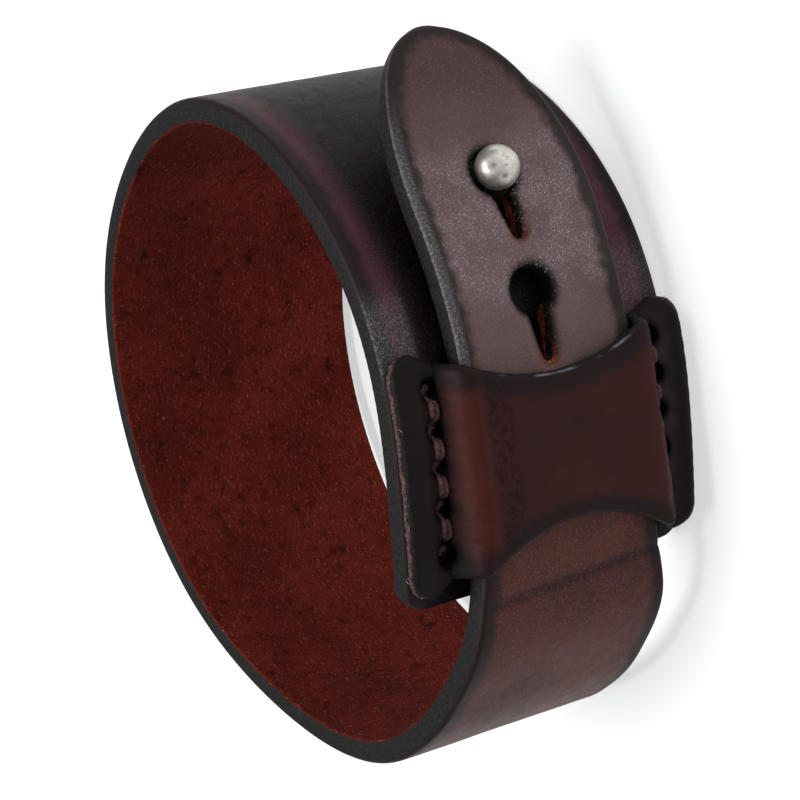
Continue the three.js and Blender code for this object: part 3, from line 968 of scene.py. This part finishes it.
def make_keeper(finishes):
    """Keeper: hourglass leather, stitched down by its wings and arched over the tongue."""
    half = BAND_WIDTH / 2
    turn = np.linspace(-math.pi / 2, math.pi / 2, 401)
    y = half * np.sin(turn)
    low, high = keeper_reach(y)
    outline = np.vstack([np.column_stack([high, y]), np.column_stack([low, y])[::-1]])
    blank = Blank(resampled(outline, 0.35), stitch_hole_outlines(0.0), KEEPER_GRID)
    x, y = blank.points.T
    nudge = 0.05
    rise = keeper_rise(x, y)
    lean_x = (keeper_rise(x + nudge, y) - keeper_rise(x - nudge, y)) / (2 * nudge)
    lean_y = (keeper_rise(x, y + nudge) - keeper_rise(x, y - nudge)) / (2 * nudge)
    out = np.column_stack([-lean_x, -lean_y, 0 * x + 1])
    out /= np.linalg.norm(out, axis=1, keepdims=True)
    middle = np.column_stack([x, y, rise])
    row_gap = np.abs(np.abs(y) - (half - STITCH_INSET + FAR_ROW_SHIFT * (y < 0)))
    pressed = GROOVE_DEPTH * np.exp(-(row_gap / GROOVE_WIDTH) ** 2) * smoothstep(blank.edge_gap, 0.6, 2.4)
    sway = 0.05 * ripple(middle, 6.0, 9.0)
    top = KEEPER_THICKNESS / 2 + sway - pressed
    top -= rounded_over(blank.edge_gap, KEEPER_EDGE_ROUND) + rounded_over(blank.hole_gap, HOLE_ROUND)
    bottom = KEEPER_THICKNESS / 2 - rounded_over(blank.edge_gap, KEEPER_FLESH_ROUND)
    upper = middle + out * top[:, None]
    lower = middle - out * bottom[:, None]
    rawness = smoothstep(np.abs(y), half - 1.4, half - 0.6) * smoothstep(blank.edge_gap, 0.2, 0.0)
    return leather_mesh("keeper_leather_body", blank, upper, lower, rawness, finishes)


# Stud and screw

def turned(name, profile, finish, sides=64):
    """Solid of revolution about the stud's axis, from (radius, height off the loop line) points."""
    points, faces = [], []
    for radius, height in profile[1:-1]:
        angles = np.linspace(0, 2 * math.pi, sides, endpoint=False)
        points += [(radius * math.cos(a), radius * math.sin(a), height) for a in angles]
    rings = len(profile) - 2
    for r in range(rings - 1):
        for k in range(sides):
            a, b = r * sides + k, r * sides + (k + 1) % sides
            faces.append((a, b, b + sides, a + sides))
    first, last = len(points), len(points) + 1
    points += [(0, 0, profile[0][1]), (0, 0, profile[-1][1])]
    for k in range(sides):
        faces.append((first, (k + 1) % sides, k))
        end = (rings - 1) * sides
        faces.append((last, end + k, end + (k + 1) % sides))
    mesh = bpy.data.meshes.new(name)
    mesh.from_pydata(points, [], faces)
    mesh.materials.append(finish)
    mesh.polygons.foreach_set("use_smooth", [True] * len(faces))
    return linked(name, mesh)


def on_stud_axis(piece):
    """Moves a piece drawn about Z onto the stud's axis, in metres, in the CAD frame."""
    spots = [[STUD_DISTANCE, 0, 0], [STUD_DISTANCE + 0.1, 0, 0], [STUD_DISTANCE, 0, 1]]
    seat, ahead, above = lay(np.array(spots)) + SHIFT
    outward = Vector(above - seat).normalized()
    along = Vector(ahead - seat).normalized()
    across = outward.cross(along)
    basis = Matrix((along, across, outward)).transposed().to_4x4()
    piece.data.transform(Matrix.Scale(MM, 4) @ Matrix.Translation(Vector(seat)) @ basis)
    return piece


def make_ball_stud(finish):
    """Ball, neck and flange in one turned piece, with two shallow dents in the ball."""
    foot = STRAP_THICKNESS / 2 + LAYER_GAP
    top = foot + FLANGE_THICKNESS
    inner = FLANGE_RADIUS - FLANGE_CHAMFER
    profile = [(0, foot), (inner, foot), (FLANGE_RADIUS, foot + FLANGE_CHAMFER)]
    profile += [(FLANGE_RADIUS, top - FLANGE_CHAMFER), (inner, top)]
    profile += [(NECK_RADIUS + NECK_FILLET, top), (NECK_RADIUS, top + NECK_FILLET)]
    neck_angle = math.asin(NECK_RADIUS / BALL_RADIUS)
    for angle in np.linspace(neck_angle, math.pi, 40):
        profile.append((BALL_RADIUS * math.sin(angle), BALL_HEIGHT - BALL_RADIUS * math.cos(angle)))
    piece = turned("ball_stud_body", profile, finish, 72)
    points = np.empty(3 * len(piece.data.vertices))
    piece.data.vertices.foreach_get("co", points)
    points = points.reshape(-1, 3)
    middle = np.array([0, 0, BALL_HEIGHT])
    heights = points[:, 2].copy()
    dent_shade = np.zeros(len(points))
    for spot, depth, width in BALL_DENTS:
        spot = np.array(spot) / np.linalg.norm(spot) * BALL_RADIUS + middle
        gap = np.linalg.norm(points - spot, axis=1)
        points -= (points - middle) / BALL_RADIUS * (depth * np.exp(-(gap / width) ** 2))[:, None]
        # Painted shade in each dent.
        dent_shade = np.maximum(dent_shade, 0.7 * np.exp(-(gap / (0.7 * width)) ** 2))
    piece.data.vertices.foreach_set("co", points.ravel())
    # Painted shade: the lower ball, neck and flange are marked near black, as are the dents.
    black = smoothstep(heights, BALL_HEIGHT - 0.35 * BALL_RADIUS, BALL_HEIGHT - 0.75 * BALL_RADIUS)
    black = np.maximum(black, dent_shade)
    piece.data.attributes.new("tarnish", "FLOAT", "POINT").data.foreach_set("value", black)
    return on_stud_axis(piece)


def make_stud_screw(finish):
    """Domed screw with a slot cut across its head, from the inside of the base."""
    seat = -STRAP_THICKNESS / 2 - LAYER_GAP
    tip = STRAP_THICKNESS / 2 + LAYER_GAP - SCREW_TIP_GAP
    crown = seat - SCREW_HEAD_THICKNESS
    shank = BORE_RADIUS - SCREW_GAP
    profile = [(0, crown)]
    for radius in np.linspace(0.3, SCREW_HEAD_RADIUS - 0.3, 12):
        profile.append((radius, crown + SCREW_DOME * (radius / SCREW_HEAD_RADIUS) ** 2))
    profile += [(SCREW_HEAD_RADIUS, crown + SCREW_RIM_DROP), (SCREW_HEAD_RADIUS, seat - SCREW_CHAMFER)]
    profile += [(SCREW_HEAD_RADIUS - SCREW_CHAMFER, seat), (shank, seat), (shank, tip), (0, tip)]
    piece = turned("stud_screw_body", profile, finish)
    bpy.ops.mesh.primitive_cube_add(size=1)
    cutter = bpy.context.object
    cut_size = Matrix.Diagonal((3 * SCREW_HEAD_RADIUS, SCREW_SLOT_WIDTH, 2 * SCREW_SLOT_DEPTH, 1))
    cutter.data.transform(Matrix.Translation((0, 0, crown)) @ cut_size)
    slot = piece.modifiers.new("slot", "BOOLEAN")
    slot.operation = "DIFFERENCE"
    slot.object = cutter
    eased = piece.modifiers.new("eased_edges", "BEVEL")
    eased.width = 0.06
    eased.segments = 2
    eased.limit_method = "ANGLE"
    eased.harden_normals = True
    kept_as_mesh(piece)
    bpy.data.objects.remove(cutter)
    return on_stud_axis(piece)


# Stitches

def stitch_tree():
    """Turns each edge of a flat mesh into a short plied thread, dived at its ends and laid."""
    tree = Tree("saddle_stitches", Guide="Object", Lead="Float", Middle="Float", Ply_radius="Float",
                Plies="Int", Twist="Float", Thread="Material")
    given = tree.given
    curve = tree.made("MeshToCurve", Mesh=given["Geometry"])
    curve = tree.made("ResampleCurve", Curve=curve, Count=26)
    share = tree.add("GeometryNodeSplineParameter").outputs["Factor"]
    from_middle = tree.maths("ABSOLUTE", tree.maths("MULTIPLY_ADD", share, 2.0, -1.0))
    dive = tree.made("InputNamedAttribute", {"data_type": "FLOAT"}, Name="dive")
    drop = tree.times(tree.maths("POWER", from_middle, 4.0), dive, -1.0)
    curve = tree.made("SetPosition", Geometry=curve, Offset=tree.xyz(0.0, 0.0, drop))
    twin = tree.add("GeometryNodeDuplicateElements", {"domain": "SPLINE"}, Geometry=curve)
    tree.feed(twin.inputs["Amount"], given["Plies"])
    tangent = tree.made("InputTangent")
    upright = tree.vector("NORMALIZE", tree.vector("CROSS_PRODUCT", tangent, (0, 1, 0)))
    turn_each = tree.maths("DIVIDE", 2 * math.pi, given["Plies"])
    phase = tree.maths("ADD", tree.times(tree.maths("SUBTRACT", share, 0.5), given["Twist"]),
                       tree.times(twin.outputs["Duplicate Index"], turn_each))
    reach = tree.times(given["Ply_radius"], 0.85)
    sideways = tree.vector("SCALE", (0, 1, 0), scale=tree.times(tree.maths("COSINE", phase), reach))
    upwards = tree.vector("SCALE", upright, scale=tree.times(tree.maths("SINE", phase), reach))
    plies = tree.made("SetPosition", Geometry=twin.outputs["Geometry"],
                      Offset=tree.vector("ADD", sideways, upwards))
    ring = tree.made("CurvePrimitiveCircle", Resolution=10, Radius=given["Ply_radius"])
    solid = tree.made("CurveToMesh", Curve=plies, Profile_Curve=ring, Fill_Caps=True)
    smooth = tree.made("SetShadeSmooth", Geometry=solid)
    laid = add_laying(tree, smooth, given["Guide"], given["Lead"], given["Middle"])
    real = tree.made("RealizeInstances", Geometry=laid)
    dyed = tree.made("SetMaterial", Geometry=real, Material=given["Thread"])
    tree.feed(tree.result["Geometry"], dyed)
    return tree.group


def make_stitches(guide, finish):
    """Saddle stitches from hole to hole, over the keeper's wings and on the inside of the base."""
    outside = STRAP_THICKNESS / 2 + LAYER_GAP + KEEPER_THICKNESS
    inside = -STRAP_THICKNESS / 2
    points, edges, dives = [], [], []
    for row in stitch_rows():
        for (x0, y, length0), (x1, _, length1) in zip(row, row[1:]):
            start, end = x0 + length0 / 2 - THREAD_TUCK, x1 - length1 / 2 + THREAD_TUCK
            for height, dive in ((outside - THREAD_SUNK, THREAD_DIVE),
                                 (inside + THREAD_SUNK_INSIDE, -THREAD_DIVE)):
                edges.append((len(points), len(points) + 1))
                points += [(start, y, height), (end, y, height)]
                dives += [dive * MM, dive * MM]
        for x, y, _ in row:
            edges.append((len(points), len(points) + 1))
            points += [(x, y, outside - THREAD_PLUG_DEPTH), (x, y, inside + THREAD_PLUG_INSET)]
            dives += [0.0, 0.0]
    mesh = bpy.data.meshes.new("stitch_thread_body")
    mesh.from_pydata([Vector(p) * MM for p in points], edges, [])
    mesh.attributes.new("dive", "FLOAT", "POINT").data.foreach_set("value", dives)
    piece = linked("stitch_thread_body", mesh)
    return grown(piece, stitch_tree(), Guide=guide, Lead=GUIDE_LEAD * MM, Middle=BAND_WIDTH / 2 * MM,
                 Ply_radius=THREAD_PLY_RADIUS * MM, Plies=2, Twist=0.5 * math.pi, Thread=finish)


# Raised fibres

def fibre_tree():
    """Scatters short, bent, nearly lying fibres over one kind of face of laid leather."""
    tree = Tree("raised_fibres", Kind="Int", Density="Float", Length="Float", Radius="Float",
                Rise="Float", Seed="Int", Fibre="Material")
    given = tree.given
    kind = tree.add("FunctionNodeCompare", {"data_type": "INT", "operation": "EQUAL"})
    whole = [socket for socket in kind.inputs if socket.type == "INT"]
    tree.feed(whole[0], tree.made("InputMaterialIndex"))
    tree.feed(whole[1], given["Kind"])
    spots = tree.add("GeometryNodeDistributePointsOnFaces", {"distribute_method": "RANDOM"},
                     Mesh=given["Geometry"], Selection=kind.outputs[0])
    tree.feed(spots.inputs["Density"], given["Density"])
    tree.feed(spots.inputs["Seed"], given["Seed"])
    normal = spots.outputs["Normal"]
    along = tree.vector("CROSS_PRODUCT", normal, (0, 0, 1))
    stray = tree.add("FunctionNodeRandomValue", {"data_type": "FLOAT_VECTOR"})
    tree.feed(stray.inputs[0], (-0.8, -0.8, -0.8))
    tree.feed(stray.inputs[1], (0.8, 0.8, 0.8))
    tree.feed(stray.inputs["Seed"], 3)
    heading = tree.vector("ADD", along, stray.outputs[0])
    lift = tree.vector("DOT_PRODUCT", heading, normal)
    level = tree.vector("SUBTRACT", heading, tree.vector("SCALE", normal, scale=lift))
    risen = tree.vector("SCALE", normal, scale=given["Rise"])
    leaning = tree.vector("ADD", tree.vector("NORMALIZE", level), risen)
    aimed = tree.add("FunctionNodeAlignRotationToVector", {"axis": "X"}, Vector=leaning).outputs[0]
    spine = tree.made("CurveQuadraticBezier", Resolution=3, Start=(0, 0, 0), Middle=(0.5, 0.16, 0.12),
                      End=(1, 0, -0.05))
    ring = tree.made("CurvePrimitiveCircle", Resolution=3)
    tree.feed(ring.node.inputs["Radius"], tree.maths("DIVIDE", given["Radius"], given["Length"]))
    hair = tree.made("CurveToMesh", Curve=spine, Profile_Curve=ring, Fill_Caps=True)
    size = tree.add("FunctionNodeRandomValue", {"data_type": "FLOAT"})
    tree.feed(size.inputs[2], 0.5)
    tree.feed(size.inputs[3], 1.3)
    tree.feed(size.inputs["Seed"], 5)
    length = tree.times(size.outputs[1], given["Length"])
    hairs = tree.made("InstanceOnPoints", Points=spots.outputs["Points"], Instance=hair,
                      Rotation=aimed, Scale=length)
    real = tree.made("RealizeInstances", Geometry=hairs)
    dyed = tree.made("SetMaterial", Geometry=real, Material=given["Fibre"])
    tree.feed(tree.result["Geometry"], dyed)
    return tree.group


def make_fibres(name, leather, tree, **inputs):
    return grown(linked(name, leather.data.copy()), tree, **inputs)


# Stage

def make_floor():
    """Plain white sweep that the bracelet lies on."""
    reach = 1.5
    corners = [(-reach, -reach, 0), (reach, -reach, 0), (reach, reach, 0), (-reach, reach, 0)]
    mesh = bpy.data.meshes.new("floor")
    mesh.from_pydata(corners, [], [(0, 1, 2, 3)])
    floor = linked("floor", mesh)
    f = Finish("white_floor")
    f.set("Emission Color", (1, 1, 1, 1))
    f.set("Emission Strength", 0.55)
    mesh.materials.append(f.finished((0.55, 0.55, 0.55, 1), 0.9, 0.1))


def add_softbox(name, place, size, power):
    """Area light that looks at the loop's middle."""
    light = bpy.data.lights.new(name, "AREA")
    light.shape = "DISK"
    light.size = size
    light.energy = power
    lamp = linked(name, light)
    lamp.location = place
    aim = Vector((0, 0, 0.015)) - lamp.location
    lamp.rotation_euler = aim.to_track_quat("-Z", "Y").to_euler()


def light_studio():
    """Dim cool surroundings, a high softbox that whitens the floor, a low key and a faint fill."""
    world = bpy.data.worlds.new("soft_studio")
    bpy.context.scene.world = world
    world.use_nodes = True
    background = world.node_tree.nodes["Background"]
    background.inputs["Color"].default_value = (0.88, 0.94, 1, 1)
    background.inputs["Strength"].default_value = 0.28
    add_softbox("overhead_softbox", (0.1, 0.1, 1.4), 0.9, 18.5)
    add_softbox("low_key", (0.75, -0.42, 0.2), 0.9, 1.5)
    add_softbox("front_fill", (0.1, -0.8, 0.5), 0.6, 0.8)


def set_camera():
    """Camera at the photograph's angle, rolled as the photograph is."""
    data = bpy.data.cameras.new("camera")
    data.lens = CAMERA_LENS
    data.sensor_width = 36.0
    data.shift_x, data.shift_y = CAMERA_SHIFT
    data.clip_start, data.clip_end = 0.01, 10.0
    camera = linked("camera", data)
    azimuth, elevation, roll = map(math.radians, (CAMERA_AZIMUTH, CAMERA_ELEVATION, CAMERA_ROLL))
    level = math.cos(elevation)
    back = Vector((math.sin(azimuth) * level, -math.cos(azimuth) * level, math.sin(elevation)))
    level_right = Vector((math.cos(azimuth), math.sin(azimuth), 0))
    level_up = back.cross(level_right)
    right = math.cos(roll) * level_right + math.sin(roll) * level_up
    up = back.cross(right)
    place = (Vector(CAMERA_AIM) + Vector(SHIFT) + back * CAMERA_DISTANCE) * MM
    camera.matrix_world = Matrix.Translation(place) @ Matrix((right, up, back)).transposed().to_4x4()
    bpy.context.scene.camera = camera


def render_plainly():
    view = bpy.context.scene.view_settings
    view.view_transform = "Standard"
    view.look = "None"
    view.exposure = 0.0


set_camera()
render_plainly()
light_studio()
make_floor()

rim = cut_edge("burnished_rim", "0f0d0e", "2a2727", 1.3, 2.0, "43150e", "8a412c")
keeper_rim = cut_edge("keeper_rim", "0b0a0b", "222021", 0.1, 0.5, "33201f", "6b4a47")
slot_wall = cut_edge("slot_wall", "0d0a09", "2d2522", 0.3, 2.0, "43150e", "8a412c")
flesh = raw_flesh()
nap_fibre = loose_fibre("nap_fibre", "6b2519", "a96048")
slot_fibre = loose_fibre("slot_fibre", "6b2b1a", "b06a48")
wing_fibre = loose_fibre("wing_fibre", "5b3d3a", "b79c92")
thread = waxed_thread()
steel = tumbled_steel()

guide = guide_curve()
laying = laying_tree()
laid_by = {"Guide": guide, "Lead": GUIDE_LEAD * MM, "Middle": BAND_WIDTH / 2 * MM}
strap = grown(make_strap([strap_grain(), rim, flesh, slot_wall]), laying, **laid_by)
keeper = grown(make_keeper([keeper_grain(), keeper_rim, keeper_rim, keeper_rim]), laying, **laid_by)
stitches = make_stitches(guide, thread)
ball = make_ball_stud(steel)
screw = make_stud_screw(steel)
bpy.data.objects.remove(guide)

fibres = fibre_tree()
nap = make_fibres("flesh_nap_body", strap, fibres, Kind=FLESH, Density=1.0e6, Length=0.45 * MM,
                  Radius=0.022 * MM, Rise=0.12, Seed=11, Fibre=nap_fibre)
keeper_fray = make_fibres("keeper_fray_body", keeper, fibres, Kind=RAW, Density=3.0e6, Length=0.4 * MM,
                          Radius=0.025 * MM, Rise=0.5, Seed=12, Fibre=wing_fibre)
slot_fray = make_fibres("slot_fray_body", strap, fibres, Kind=RAW, Density=6.0e6, Length=0.35 * MM,
                        Radius=0.02 * MM, Rise=0.7, Seed=13, Fibre=slot_fibre)

dressed = (
    (strap, "strap", "strap_leather"),
    (keeper, "keeper", "keeper_leather"),
    (stitches, None, "stitch_thread"),
    (nap, None, "strap_leather"),
    (keeper_fray, None, "keeper_leather"),
    (slot_fray, None, "strap_leather"),
    (ball, "ball_stud", "stud_steel"),
    (screw, "stud_screw", "stud_steel"),
)
for piece, node, slot in dressed:
    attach(piece, "root")
    if node:
        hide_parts(node)
